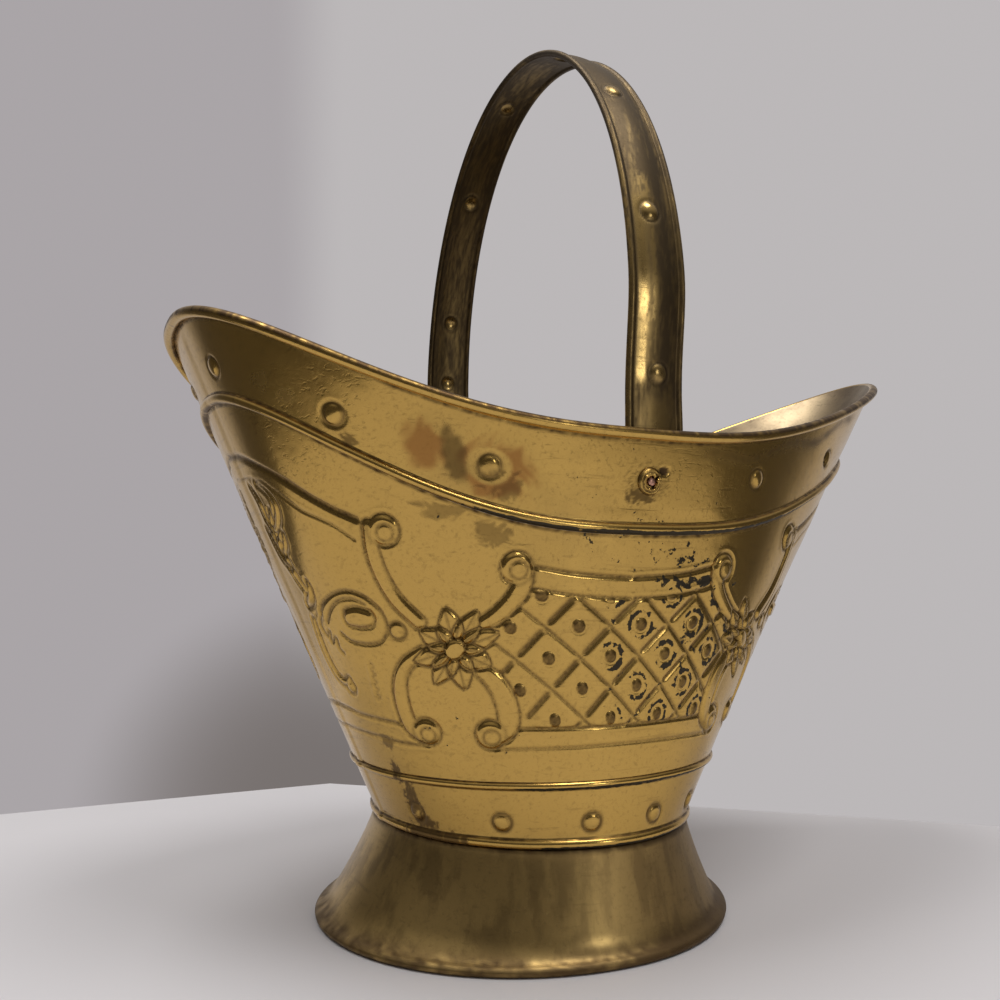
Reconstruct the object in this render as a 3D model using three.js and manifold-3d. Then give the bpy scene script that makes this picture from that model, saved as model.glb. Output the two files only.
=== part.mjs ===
// Helmet coal scuttle in sheet brass, in millimetres, +Z up.
//
// Two pressed half shells are lapped and soldered at the lip and at the back. Their rim is rolled
// over an iron wire. The shells and a dished base plate stand on a flared oval foot, whose bottom
// edge is rolled over a second wire. A strap bail hangs inside the rim on one copper rivet a side.
//
// The body is ruled between two ovals, one at the waist and one above the mouth. Each oval is two
// half superellipses that meet on the rivet line: the front half draws out to the pouring lip, the
// back half is fuller. X points to the lip. Z is 0 where the foot stands, and the origin is under
// the middle of the rim's overall length.

import * as THREE from 'three';
import { mergeVertices } from 'three/addons/utils/BufferGeometryUtils.js';
import Module from 'manifold-3d';

const wasm = await Module();
wasm.setup();

// ---- driving dimensions ----

const sheet = 0.9;               // brass sheet of the shells, foot and base plate
const clearance = 0.3;           // between pieces that touch
const sections = 64;             // faces round a full oval

// Ovals: reach of the front half, reach of the back half, half width, and fullness of each half.
const foot = { front: 91, back: 105.2, side: 94.3, frontFullness: 2, backFullness: 2 };
const waist = { front: 72.4, back: 79.1, side: 86.2, frontFullness: 2, backFullness: 2 };
const mouth = { front: 294, back: 219.5, side: 140.4, frontFullness: 1.74, backFullness: 2.73 };

const waistHeight = 48.7;        // middle of the bead where the body sits on the foot
const mouthHeight = 373.7;       // level at which the ruled wall reaches the mouth oval
const bandHeight = 74.1;         // middle of the bead above the lower band

// The rim sweeps up to both ends: height of the middle of its rolled edge at the sides, at the
// lip and at the back, and how late the line rises. The collar is a bead that lies below it.
const rim = { side: 219.1, front: 281.8, back: 274.5, sweep: 2.45 };
const upperBand = { side: 38.8, front: 45.1, back: 34.5 };   // from the collar up to the rim
const collarSweep = 2.6;

const waistBead = 2;             // radius of the half-round beads raised in the shells
const bandBead = 1.6;
const collarBead = 2;
const rimWire = 1.3;             // radius of the iron wires in the rolled edges
const footWire = 1.2;
const footFlare = 1.25;          // 1 is a straight skirt, more is a skirt that flares at its foot
const footLedge = 10;            // width of the flange turned in at the top of the foot
const baseFlange = 9;            // height of the base plate's upturned edge
const seamLap = 8;               // how far one half shell passes behind the other
const seamMargin = 6;            // space kept above and below the lap

const rivetShift = -1;           // the rivets sit this far in front of the body's widest section
const rivetDrop = 19.1;          // and this far below the lowest level of the rim
const rivetShank = 2;            // radii and heights of the copper rivets
const rivetHead = { radius: 4.5, height: 2.4 };
const rivetTail = { radius: 3.8, height: 1.6 };
const washerRadius = 6;
const spacerThickness = 2;       // washer between strap and wall
const burrThickness = 1;         // washer under the rivet's inner head

const strapLeg = 14.7;           // half width of the strap at its legs
const strapCrown = 11.6;         // half width of the strap at its top
const strapEdge = 1.6;           // radius of the strap's rolled edges
const strapEdgeRise = 0.4;       // how far the rolled edges stand out from the strap's middle plane
const strapMeet = 160;           // degrees round the rolled edge to where it meets the strap's web
const strapShift = 3.5;          // the strap's middle line passes this far in front of the rivets
const strapEnd = 10;             // length of strap below the rivet
const strapEndWidth = 9;         // half width of the strap at its cut end
const strapStraight = 1;         // the legs stay upright this far past the washers
const throatInset = 5.42;        // from the wall's outer face in to the legs' middle, at the rim
const throatLow = 4.9;           // heights over the rim: the legs run upright from here
const throatHigh = 18.9;         // up to here, where they start to spread
const bailSpread = 4.3;          // how far each leg spreads
const archStart = 55.9;          // and here the arch starts
const bailTop = 430.7;           // height of the strap's middle plane at its top
const bailFullness = 2.03;       // 2 is an ellipse
const legSteps = 16;
const archSteps = 34;

// ---- materials ----

const brass = new THREE.MeshStandardMaterial({ color: 0xa98545, roughness: 0.32, metalness: 1 });
const dullBrass = new THREE.MeshStandardMaterial({ color: 0x6f6038, roughness: 0.45, metalness: 1 });
const darkBrass = new THREE.MeshStandardMaterial({ color: 0x5a4727, roughness: 0.4, metalness: 1 });
const copper = new THREE.MeshStandardMaterial({ color: 0xa66a4c, roughness: 0.45, metalness: 1 });
const iron = new THREE.MeshStandardMaterial({ color: 0x4b4844, roughness: 0.6, metalness: 1 });

// ---- geometry of the ovals and of the wall ----

const half = sections / 2;
const turn = (column) => (column / half) * Math.PI;
const radians = THREE.MathUtils.degToRad;
const lerp = THREE.MathUtils.lerp;

// A point of an oval. The angle is 0 at the lip and a half turn at the back.
function ovalPoint(oval, angle) {
  const cosine = Math.cos(angle);
  const sine = Math.sin(angle);
  const reach = cosine >= 0 ? oval.front : oval.back;
  const power = 2 / (cosine >= 0 ? oval.frontFullness : oval.backFullness);
  const x = Math.sign(cosine) * reach * Math.abs(cosine) ** power;
  const y = Math.sign(sine) * oval.side * Math.abs(sine) ** power;
  return new THREE.Vector2(x, y);
}

function blendOvals(low, high, share) {
  const oval = {};
  for (const size of Object.keys(low)) oval[size] = lerp(low[size], high[size], share);
  return oval;
}

// The direction out of an oval, square to it in plan.
function ovalNormal(oval, angle) {
  const step = 0.002;
  const along = ovalPoint(oval, angle + step).sub(ovalPoint(oval, angle - step)).normalize();
  return new THREE.Vector2(along.y, -along.x);
}

function wallAt(angle, height) {
  const share = (height - waistHeight) / (mouthHeight - waistHeight);
  const point = ovalPoint(blendOvals(waist, mouth, share), angle);
  return new THREE.Vector3(point.x, point.y, height);
}

// A point beside the wall: out is square to the outer face, up runs along the wall.
function wallPoint(angle, height, out = 0, up = 0) {
  const rise = wallAt(angle, height + 1).sub(wallAt(angle, height - 1)).normalize();
  const step = 0.002;
  const round = wallAt(angle + step, height).sub(wallAt(angle - step, height)).normalize();
  const outward = round.clone().cross(rise).normalize();
  return wallAt(angle, height).addScaledVector(outward, out).addScaledVector(rise, up);
}

// A point beside the wall at a set level: the offset is slid along the wall back to that level.
function levelPoint(angle, height, out) {
  const point = wallPoint(angle, height, out);
  const rise = wallAt(angle, height + 1).sub(wallAt(angle, height)).normalize();
  return point.addScaledVector(rise, (height - point.z) / rise.z);
}

// The height of a swept line, such as the rim, which is lowest at the sides.
function sweptHeight(line, angle) {
  const cosine = Math.cos(angle);
  const end = cosine >= 0 ? line.front : line.back;
  return line.side + (end - line.side) * Math.abs(cosine) ** line.sweep;
}

const collar = {
  side: rim.side - upperBand.side,
  front: rim.front - upperBand.front,
  back: rim.back - upperBand.back,
  sweep: collarSweep,
};

// Half the width of the body at a height, measured at its widest section.
function wallSide(height) {
  return wallAt(Math.PI / 2, height).y;
}

// Points of an arc from one angle in degrees to another.
function arc(radius, from, to, steps) {
  const points = [];
  for (let i = 0; i <= steps; i++) {
    const angle = radians(lerp(from, to, i / steps));
    points.push([radius * Math.cos(angle), radius * Math.sin(angle)]);
  }
  return points;
}

// ---- closed solids from rows of points ----

function geometryFrom(points, triangles) {
  let volume = 0;
  for (const [a, b, c] of triangles) {
    volume += points[a].dot(points[b].clone().cross(points[c]));
  }
  const faces = volume < 0 ? triangles.map(([a, b, c]) => [a, c, b]) : triangles;
  const geometry = new THREE.BufferGeometry();
  geometry.setFromPoints(points);
  geometry.setIndex(faces.flat());
  geometry.computeVertexNormals();
  return geometry;
}

// Joins loops of equally many points. The run is either closed on itself, or shut by a cap at
// each end, for which outline gives the first and last loop in their own flat coordinates.
function sweep(loops, outline) {
  const size = loops[0].length;
  const count = loops.length;
  const triangles = [];
  for (let i = 0; i < (outline ? count - 1 : count); i++) {
    const here = i * size;
    const next = ((i + 1) % count) * size;
    for (let j = 0; j < size; j++) {
      const k = (j + 1) % size;
      triangles.push([here + j, here + k, next + k], [here + j, next + k, next + j]);
    }
  }
  if (outline) {
    const last = (count - 1) * size;
    for (const [a, b, c] of THREE.ShapeUtils.triangulateShape(outline, [])) {
      const forward = THREE.ShapeUtils.area([outline[a], outline[b], outline[c]]) > 0;
      const same = forward === THREE.ShapeUtils.area(outline) > 0;
      const [p, q, r] = same ? [a, b, c] : [a, c, b];
      triangles.push([p, r, q], [last + p, last + q, last + r]);
    }
  }
  return geometryFrom(loops.flat(), triangles);
}

// Joins rings of equally many points into a dish: the first and last ring close on a middle point.
function dish(rings, firstMiddle, lastMiddle) {
  const size = rings[0].length;
  const points = [...rings.flat(), firstMiddle, lastMiddle];
  const triangles = [];
  const first = points.length - 2;
  const last = (rings.length - 1) * size;
  for (let j = 0; j < size; j++) {
    const k = (j + 1) % size;
    triangles.push([first, k, j], [first + 1, last + j, last + k]);
    for (let i = 0; i < rings.length - 1; i++) {
      const here = i * size;
      const next = here + size;
      triangles.push([here + j, here + k, next + k], [here + j, next + k, next + j]);
    }
  }
  return geometryFrom(points, triangles);
}

function toManifold(geometry) {
  const bare = geometry.clone();
  bare.deleteAttribute('normal');
  bare.deleteAttribute('uv');
  const merged = mergeVertices(bare, 1e-5);
  return new wasm.Manifold(new wasm.Mesh({
    numProp: 3,
    vertProperties: new Float32Array(merged.attributes.position.array),
    triVerts: new Uint32Array(merged.index.array),
  }));
}

function fromManifold(manifold) {
  const mesh = manifold.getMesh();
  const geometry = new THREE.BufferGeometry();
  geometry.setAttribute('position', new THREE.BufferAttribute(new Float32Array(mesh.vertProperties), 3));
  geometry.setIndex(new THREE.BufferAttribute(new Uint32Array(mesh.triVerts), 1));
  geometry.computeVertexNormals();
  return geometry;
}

const rivetHeight = rim.side - rivetDrop;

// The bore for both rivets, across the whole scuttle.
function rivetBore() {
  const radius = rivetShank + clearance;
  const bore = new THREE.CylinderGeometry(radius, radius, 2 * mouth.side, 16);
  bore.translate(rivetShift, 0, rivetHeight);
  return bore;
}

// ---- half shells ----

const footTop = waistHeight - waistBead - clearance;   // upper face of the foot's ledge
const shellBottom = footTop + clearance;
const rimCurl = rimWire + clearance;                   // inner radius of the rolled rim
const curlEnd = -85;                                   // degrees at which the curl stops

// The sheet's section in one column: height on the wall, distance out of it, distance along it.
function shellSection(angle) {
  const rimLine = sweptHeight(rim, angle);
  const collarLine = sweptHeight(collar, angle);
  const bead = (height, radius) => arc(radius, -90, 90, 4).map(([out, up]) => ({ height, out, up }));
  const curl = (radius, from, to) => arc(radius, from, to, 6)
    .map(([out, up]) => ({ height: rimLine, out: rimCurl + out, up }));
  const inside = [collarLine, bandHeight, shellBottom]
    .map((height) => ({ height, out: -sheet, up: 0 }));
  return [
    ...bead(waistHeight, waistBead),
    ...bead(bandHeight, bandBead),
    ...bead(collarLine, collarBead),
    ...curl(rimCurl, 180, curlEnd),
    ...curl(rimCurl + sheet, curlEnd, 180),
    ...inside,
  ];
}

// The far half runs from the lip to the back, and the near half is its mirror image.
function halfShell(sign) {
  const loops = [];
  for (let column = 0; column <= half; column++) {
    const angle = turn(column);
    loops.push(shellSection(angle).map(({ height, out, up }) => {
      const point = wallPoint(angle, height, out, up);
      return point.setY(sign * (point.y + clearance / 2));
    }));
  }
  const outline = shellSection(0).map(({ height, out, up }) => new THREE.Vector2(out, height + up));
  return sweep(loops, outline);
}

// The lap: a strip of the far half that passes inside the near half, at the lip or at the back.
function seamLapStrip(column) {
  const tip = turn(column);
  const next = turn(column === 0 ? 1 : column - 1);
  const bottom = waistHeight + baseFlange + seamMargin;
  const top = sweptHeight(rim, tip) - seamMargin;
  const outer = -sheet - clearance;
  const inner = outer - sheet;
  const rows = 8;
  const loops = [];
  for (let row = 0; row <= rows; row++) {
    const height = lerp(bottom, top, row / rows);
    // Follows the flat facet between the seam and the shell's first column.
    const onFacet = (across, out) => {
      const start = wallPoint(tip, height, out);
      const end = wallPoint(next, height, out);
      const point = start.clone().lerp(end, Math.abs(across) / Math.abs(end.y - start.y));
      return point.setY(across + Math.sign(across) * clearance / 2);
    };
    loops.push([
      onFacet(-seamLap, outer), onFacet(-sheet / 2, outer), onFacet(sheet / 2, outer),
      onFacet(sheet, -sheet / 2), onFacet(seamLap, -sheet / 2),
      onFacet(seamLap, inner), onFacet(sheet / 2, inner), onFacet(-sheet / 2, inner),
      onFacet(-seamLap, inner),
    ]);
  }
  const outline = loops[0].map((point) => new THREE.Vector2(point.y, point.x));
  return sweep(loops, outline);
}

function nearShell() {
  return fromManifold(toManifold(halfShell(-1)).subtract(toManifold(rivetBore())));
}

function farShell() {
  const joined = toManifold(halfShell(1))
    .add(toManifold(seamLapStrip(0)))
    .add(toManifold(seamLapStrip(half)));
  return fromManifold(joined.subtract(toManifold(rivetBore())));
}

// ---- wires in the rolled edges ----

// A six-sided wire round the whole oval.
function wireRing(centreAt, radius) {
  const loops = [];
  for (let column = 0; column < sections; column++) {
    loops.push(arc(radius, 0, 300, 5).map(([out, up]) => centreAt(turn(column), out, up)));
  }
  return sweep(loops);
}

function rimWireRing() {
  return wireRing((angle, out, up) => wallPoint(angle, sweptHeight(rim, angle), rimCurl + out, up), rimWire);
}

// ---- foot ----

const footCurl = footWire + clearance;                 // inner radius of the rolled foot
const footCurlEnd = 460;                               // degrees at which the foot's curl stops
const facet = 22.5;                                    // half the angle of the facet it stands on
const footWireHeight = (footCurl + sheet) * Math.cos(radians(facet));

function footPoint(angle, height, out) {
  const share = (height - footWireHeight) / (footTop - footWireHeight);
  const oval = blendOvals(foot, waist, 1 - (1 - Math.min(Math.max(share, 0), 1)) ** footFlare);
  const point = ovalPoint(oval, angle).addScaledVector(ovalNormal(oval, angle), out);
  return new THREE.Vector3(point.x, point.y, height);
}

function footSkirt() {
  const steps = 4;
  const wall = [];
  for (let i = 0; i < steps; i++) wall.push(lerp(footTop, footWireHeight, i / steps));
  const outer = footCurl + sheet;
  const curl = [
    ...arc(footCurl, 180, footCurlEnd, 6),
    ...arc(outer, footCurlEnd, 360 + facet, 1),
    ...arc(outer, 360 - facet, 180 + 3 * facet, 2),
    ...arc(outer, 180 + facet, 180, 1),
  ];
  const section = [
    ...wall.map((height) => [height, 0]),
    ...curl.map(([out, up]) => [footWireHeight + up, footCurl + out]),
    ...wall.slice(1).reverse().map((height) => [height, -sheet]),
    [footTop - sheet, -sheet],
    [footTop - sheet, -footLedge],
    [footTop, -footLedge],
  ];
  const loops = [];
  for (let column = 0; column < sections; column++) {
    loops.push(section.map(([height, out]) => footPoint(turn(column), height, out)));
  }
  return sweep(loops);
}

function footWireRing() {
  return wireRing((angle, out, up) => footPoint(angle, footWireHeight + up, footCurl + out)
    .setZ(footWireHeight + up), footWire);
}

// ---- base plate ----

function basePlate() {
  const outside = -sheet - clearance;
  const inside = outside - sheet;
  const edge = shellBottom + baseFlange;
  const ring = (height, out) => {
    const points = [];
    for (let column = 0; column < sections; column++) {
      points.push(levelPoint(turn(column), height, out));
    }
    return points;
  };
  const rings = [
    ring(shellBottom, outside - sheet),
    ring(shellBottom + sheet, outside),
    ring(edge, outside),
    ring(edge, inside),
    ring(shellBottom + sheet, inside),
  ];
  return dish(rings, new THREE.Vector3(0, 0, shellBottom), new THREE.Vector3(0, 0, shellBottom + sheet));
}

// ---- the stack along each rivet: wall, spacer washer, strap, burr washer ----

const wallLean = (mouth.side - waist.side) / (mouthHeight - waistHeight);
const wallOuter = wallSide(rivetHeight);
const wallThrough = sheet * Math.hypot(1, wallLean);    // the sheet, measured along the rivet
const webHalf = strapEdge * Math.sin(radians(strapMeet));   // half the thickness of the strap
const spacerTop = wallOuter - wallThrough - wallLean * washerRadius - clearance;
const spacerBottom = spacerTop - spacerThickness;
const webMiddle = spacerBottom - clearance - webHalf;
const burrTop = webMiddle - webHalf - clearance;
const tailTop = burrTop - burrThickness - clearance;
const headSeat = wallOuter + wallLean * rivetHead.radius + clearance;

// ---- bail ----

const bailInset = webMiddle - strapEdgeRise;            // half distances between the legs
const bailThroat = wallSide(rim.side) - throatInset;
const bailSpan = bailThroat + bailSpread;
const bailArchStart = rim.side + archStart;

// Runs smoothly from 0 at one height to 1 at another.
function easyBend(height, from, to) {
  const share = Math.min(Math.max((height - from) / (to - from), 0), 1);
  return (1 - Math.cos(Math.PI * share)) / 2;
}

// The strap's middle line: up one leg and over the arch, as distance across and height.
function bailLine() {
  const points = [];
  const bottom = rivetHeight - strapEnd;
  for (let i = 0; i < legSteps; i++) {
    const height = lerp(bottom, bailArchStart, i / legSteps);
    const throat = easyBend(height, rivetHeight + washerRadius + strapStraight, rim.side + throatLow);
    const spread = easyBend(height, rim.side + throatHigh, bailArchStart);
    const across = bailInset + (bailThroat - bailInset) * throat + bailSpread * spread;
    points.push(new THREE.Vector2(across, height));
  }
  const power = 2 / bailFullness;
  for (let i = 0; i <= archSteps / 2; i++) {
    const angle = (i / archSteps) * Math.PI;
    const across = bailSpan * Math.cos(angle) ** power;
    const height = lerp(bailArchStart, bailTop, Math.sin(angle) ** power);
    points.push(new THREE.Vector2(i === archSteps / 2 ? 0 : across, height));
  }
  const mirrored = points.slice(0, -1).reverse().map((point) => new THREE.Vector2(-point.x, point.y));
  return [...points, ...mirrored];
}

// Half width of the strap at a height: tapered to the crown, and rounded off at its cut ends.
function strapWidth(height) {
  const full = lerp(strapLeg, strapCrown, Math.max((height - rivetHeight) / (bailTop - rivetHeight), 0));
  const share = Math.min((height - rivetHeight + strapEnd) / strapEnd, 1);
  return lerp(strapEndWidth, full, Math.sqrt(1 - (1 - share) ** 2));
}

// The strap's section: a thin web between two rolled edges, as distance across and distance out.
function strapSection(halfWidth) {
  const edge = arc(strapEdge, -strapMeet, strapMeet, 8)
    .map(([across, out]) => new THREE.Vector2(halfWidth - strapEdge + across, strapEdgeRise + out));
  const other = edge.map((point) => new THREE.Vector2(-point.x, point.y)).reverse();
  return [...edge, ...other];
}

function bailStrap() {
  const line = bailLine();
  const loops = line.map((point, i) => {
    const before = line[Math.max(i - 1, 0)];
    const after = line[Math.min(i + 1, line.length - 1)];
    const along = after.clone().sub(before).normalize();
    const outward = new THREE.Vector2(along.y, -along.x);
    return strapSection(strapWidth(point.y)).map(({ x, y }) => new THREE.Vector3(
      rivetShift + strapShift + x, point.x + outward.x * y, point.y + outward.y * y));
  });
  const solid = sweep(loops, strapSection(strapWidth(line[0].y)));
  return fromManifold(toManifold(solid).subtract(toManifold(rivetBore())));
}

// ---- rivets and washers ----

// Turned about the Y axis from pairs of distance out and radius, and set on the rivet line.
function turned(profile, sign) {
  const points = profile.map(([out, radius]) => new THREE.Vector2(radius, out));
  const geometry = new THREE.LatheGeometry(points, 20);
  geometry.deleteAttribute('normal');
  geometry.deleteAttribute('uv');
  const closed = mergeVertices(geometry, 1e-4);
  if (sign < 0) closed.rotateX(Math.PI);
  closed.translate(rivetShift, 0, rivetHeight);
  return fromManifold(toManifold(closed));
}

function washer(from, to, sign) {
  const bore = rivetShank + clearance;
  return turned([[from, bore], [from, washerRadius], [to, washerRadius], [to, bore], [from, bore]], sign);
}

function rivet(sign) {
  const dome = (seat, size, way) => arc(1, 0, 90, 4)
    .map(([across, out]) => [seat + way * size.height * out, Math.abs(size.radius * across)]);
  const tail = dome(tailTop, rivetTail, -1).reverse();
  const head = dome(headSeat, rivetHead, 1);
  tail[0][1] = 0;
  head[head.length - 1][1] = 0;
  return turned([...tail, [tailTop, rivetShank], [headSeat, rivetShank], ...head], sign);
}

// ---- assembly ----

const scuttle = new THREE.Group();

function addPiece(name, geometry, material) {
  const mesh = new THREE.Mesh(geometry, material);
  mesh.name = name;
  scuttle.add(mesh);
}

addPiece('near_half_shell', nearShell(), brass);
addPiece('far_half_shell', farShell(), brass);
addPiece('rim_wire', rimWireRing(), iron);
addPiece('base_plate', basePlate(), dullBrass);
addPiece('foot_skirt', footSkirt(), dullBrass);
addPiece('foot_wire', footWireRing(), iron);
addPiece('bail_strap', bailStrap(), darkBrass);
for (const [side, sign] of [['near', -1], ['far', 1]]) {
  addPiece(`${side}_rivet`, rivet(sign), copper);
  addPiece(`${side}_spacer_washer`, washer(spacerBottom, spacerTop, sign), brass);
  addPiece(`${side}_burr_washer`, washer(burrTop - burrThickness, burrTop, sign), copper);
}

const whole = new THREE.Box3().setFromObject(scuttle);
scuttle.position.x = -(whole.min.x + whole.max.x) / 2;

export default scuttle;
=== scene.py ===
# Helmet coal scuttle of embossed sheet brass, dressed around its packed construction.

import math

import bmesh
import bpy
import numpy as np
from mathutils import Matrix, Vector


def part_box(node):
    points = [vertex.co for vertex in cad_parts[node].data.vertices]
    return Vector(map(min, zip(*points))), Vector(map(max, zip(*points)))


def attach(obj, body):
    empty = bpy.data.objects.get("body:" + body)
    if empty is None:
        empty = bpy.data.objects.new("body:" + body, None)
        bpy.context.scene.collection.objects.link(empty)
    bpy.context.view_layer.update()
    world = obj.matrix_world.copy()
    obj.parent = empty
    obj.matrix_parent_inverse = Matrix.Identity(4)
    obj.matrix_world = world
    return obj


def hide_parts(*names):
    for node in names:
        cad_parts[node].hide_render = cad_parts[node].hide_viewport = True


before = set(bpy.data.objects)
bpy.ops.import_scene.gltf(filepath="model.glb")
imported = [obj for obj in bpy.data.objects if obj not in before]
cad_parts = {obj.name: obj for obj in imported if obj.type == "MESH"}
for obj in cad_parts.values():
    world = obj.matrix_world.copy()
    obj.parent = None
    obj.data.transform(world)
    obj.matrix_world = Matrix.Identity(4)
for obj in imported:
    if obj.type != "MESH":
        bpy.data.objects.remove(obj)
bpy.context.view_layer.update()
mm = 0.001


# ---- camera ----
# A phone held a little above the foot's level, near the back of the near side.

def new_object(name, data):
    holder = bpy.data.objects.new(name, data)
    bpy.context.collection.objects.link(holder)
    return holder


camera_data = bpy.data.cameras.new("camera")
camera_data.sensor_width = 36
camera_data.lens = 32.67
camera_data.shift_x = -0.001
camera_data.shift_y = 0.0238
camera_data.clip_start = 0.01
camera_place = (-0.2486, -0.4200, 0.1575)
camera_yaw = math.radians(26.06)          # from +Y towards +X
camera_pitch = math.radians(3.89)
camera_roll = math.radians(-0.45)
ahead = Vector((math.sin(camera_yaw) * math.cos(camera_pitch),
                math.cos(camera_yaw) * math.cos(camera_pitch), math.sin(camera_pitch)))
level = Vector((math.cos(camera_yaw), -math.sin(camera_yaw), 0))
upright = level.cross(ahead)
sideways = level * math.cos(camera_roll) + upright * math.sin(camera_roll)
turned = Matrix((sideways, ahead.cross(sideways) * -1, -ahead)).transposed()
camera = new_object("camera", camera_data)
camera.matrix_world = Matrix.Translation(camera_place) @ turned.to_4x4()
bpy.context.scene.camera = camera
bpy.context.scene.view_settings.view_transform = "Standard"


# ---- room and table ----
# A white table top that ends behind the scuttle, pale grey walls, and soft light from above.
# The side of the room behind the camera is dim, which gives the brass its darker reflections.

def link(tree, start, end):
    """Joins two sockets, each given as (node, socket name or number)."""
    tree.links.new(start[0].outputs[start[1]], end[0].inputs[end[1]])


def add_node(tree, kind, **settings):
    """A node with its settings: a socket's value where the name is a socket's, else a property."""
    node = tree.nodes.new(kind)
    for name, value in settings.items():
        socket = node.inputs.get(name.replace("_", " "))
        if socket is not None:
            socket.default_value = value
        else:
            setattr(node, name, value)
    return node


def feed(tree, given, node, name):
    """Gives a socket a number or a colour, or joins it to a node's output."""
    if isinstance(given, tuple) and len(given) == 2:
        link(tree, given, (node, name))
    else:
        node.inputs[name].default_value = (*given, 1) if isinstance(given, tuple) else given


def combined(tree, operation, first, second):
    """A number worked out from two; each is a number or a node's output."""
    step = add_node(tree, "ShaderNodeMath", operation=operation)
    feed(tree, first, step, 0)
    feed(tree, second, step, 1)
    return step, 0


def mixed(tree, factor, start, end):
    """A colour mixed from two; each is a colour or a node's output."""
    mix = add_node(tree, "ShaderNodeMix", data_type="RGBA")
    for name, given in (("Factor", factor), ("A", start), ("B", end)):
        feed(tree, given, mix, name)
    return mix, "Result"


def stepped(tree, value, low, high, interpolation="SMOOTHSTEP"):
    """Goes from 0 to 1 as a value goes from low to high."""
    ramp = add_node(tree, "ShaderNodeMapRange", interpolation_type=interpolation)
    for name, given in (("Value", value), ("From Min", low), ("From Max", high)):
        feed(tree, given, ramp, name)
    return ramp, "Result"


world = bpy.data.worlds.new("room")
bpy.context.scene.world = world
world.use_nodes = True
room = world.node_tree
room.nodes.clear()
pale_wall, shaded_wall, wall_shadow = (0.50, 0.478, 0.483), (0.40, 0.375, 0.388), (0.185, 0.165, 0.158)
dim_room, ceiling = (0.085, 0.078, 0.075), (0.41, 0.395, 0.39)
direction = add_node(room, "ShaderNodeTexCoord")


def facing_part(heading, start, stop):
    """How far a direction turns to a heading: 0 up to start, 1 from stop on."""
    turned_to = add_node(room, "ShaderNodeVectorMath", operation="DOT_PRODUCT")
    turned_to.inputs[1].default_value = heading
    link(room, (direction, "Generated"), (turned_to, 0))
    return stepped(room, (turned_to, "Value"), start, stop)


# What the brass mirrors: a pale wall behind the scuttle, a dim room before it, and a ceiling.
reflected = mixed(room, facing_part((0.5, 0.866, 0), 0.42, 0.66), dim_room, pale_wall)
reflected = mixed(room, facing_part((0, 0, 1), 0.35, 0.75), reflected, ceiling)
# What the camera sees: two walls, the left one in painted shade, with a painted soft shadow of the scuttle
# low on the left one.
two_walls = mixed(room, facing_part((0.964, -0.266, 0), -0.06, 0.015), shaded_wall, pale_wall)
two_walls = mixed(room, facing_part((0.25, 0.939, -0.235), 0.968, 0.9995), two_walls, wall_shadow)
seen = add_node(room, "ShaderNodeLightPath")
glow = add_node(room, "ShaderNodeBackground")
link(room, mixed(room, (seen, "Is Camera Ray"), reflected, two_walls), (glow, "Color"))
out = add_node(room, "ShaderNodeOutputWorld")
link(room, (glow, "Background"), (out, "Surface"))

# The table stands in the corner of two walls, behind the scuttle; its other corners are out of view.
table_corners = [(-0.048, 0.307), (1.45, -1.11), (1.45, -2.20), (-0.68, -2.20), (-0.68, 0.337)]
table_colour, table_roughness, table_thickness = (0.62, 0.60, 0.61), 0.6, 0.03


def mesh_from(bm, name):
    mesh = bpy.data.meshes.new(name)
    bm.to_mesh(mesh)
    bm.free()
    return mesh


bm = bmesh.new()
bm.faces.new([bm.verts.new((x, y, 0)) for x, y in reversed(table_corners)])
bm.normal_update()
bmesh.ops.solidify(bm, geom=bm.faces[:], thickness=table_thickness)
table = new_object("table", mesh_from(bm, "table"))
table_white = bpy.data.materials.new("table_white")
table_white.use_nodes = True
table_shader = table_white.node_tree.nodes["Principled BSDF"]
table_shader.inputs["Base Color"].default_value = (*table_colour, 1)
table_shader.inputs["Roughness"].default_value = table_roughness
table.data.materials.append(table_white)


def soft_lamp(name, place, aim, size, height, power):
    lamp = bpy.data.lights.new(name, "AREA")
    lamp.shape = "RECTANGLE"
    lamp.size, lamp.size_y = size, height
    lamp.energy = power
    holder = new_object(name, lamp)
    holder.location = place
    holder.rotation_euler = (Vector(aim) - Vector(place)).to_track_quat("-Z", "Y").to_euler()


soft_lamp("front_lamp", (0.35, -1.00, 2.60), (0, -0.4, 0), 1.0, 1.0, 29)
soft_lamp("back_lamp", (-0.60, 0.10, 2.30), (-0.1, 0, 0), 0.9, 0.9, 23)
soft_lamp("window", (0.40, -1.68, 0.52), (0, 0, 0.28), 0.26, 0.36, 1.9)


# ---- the two half shells ----
# Each half of the body is one pressed sheet of brass, 0.9 mm thick, from the bead on the foot to
# the rim, which is rolled outwards over a wire. The beads, bosses and the ornament are raised from
# inside and outlined from outside with a blunt chasing tool. The halves are lapped and soldered.

sheet_thickness = 0.9
waist = {"front": 72.4, "back": 79.1, "side": 86.2, "front_fullness": 2.0, "back_fullness": 2.0}
mouth = {"front": 294.0, "back": 219.5, "side": 140.4, "front_fullness": 1.74, "back_fullness": 2.73}
waist_height, mouth_height, band_height = 48.7, 373.7, 74.1
rim_line = (219.1, 281.8, 274.5, 2.45)      # height at the sides, lip and back, and its sweep
collar_line = (180.3, 236.7, 240.0, 2.6)
waist_bead, band_bead, collar_bead = 2.1, 1.6, 2.4
rim_curl = 1.52                             # inner radius of the rolled rim
rivet_ahead = -1.0                          # the rivets stand this far in front of the widest section
rivet_low, rivet_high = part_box("near_rivet")
widest_x = (rivet_low[0] + rivet_high[0]) / 2 / mm - rivet_ahead


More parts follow.
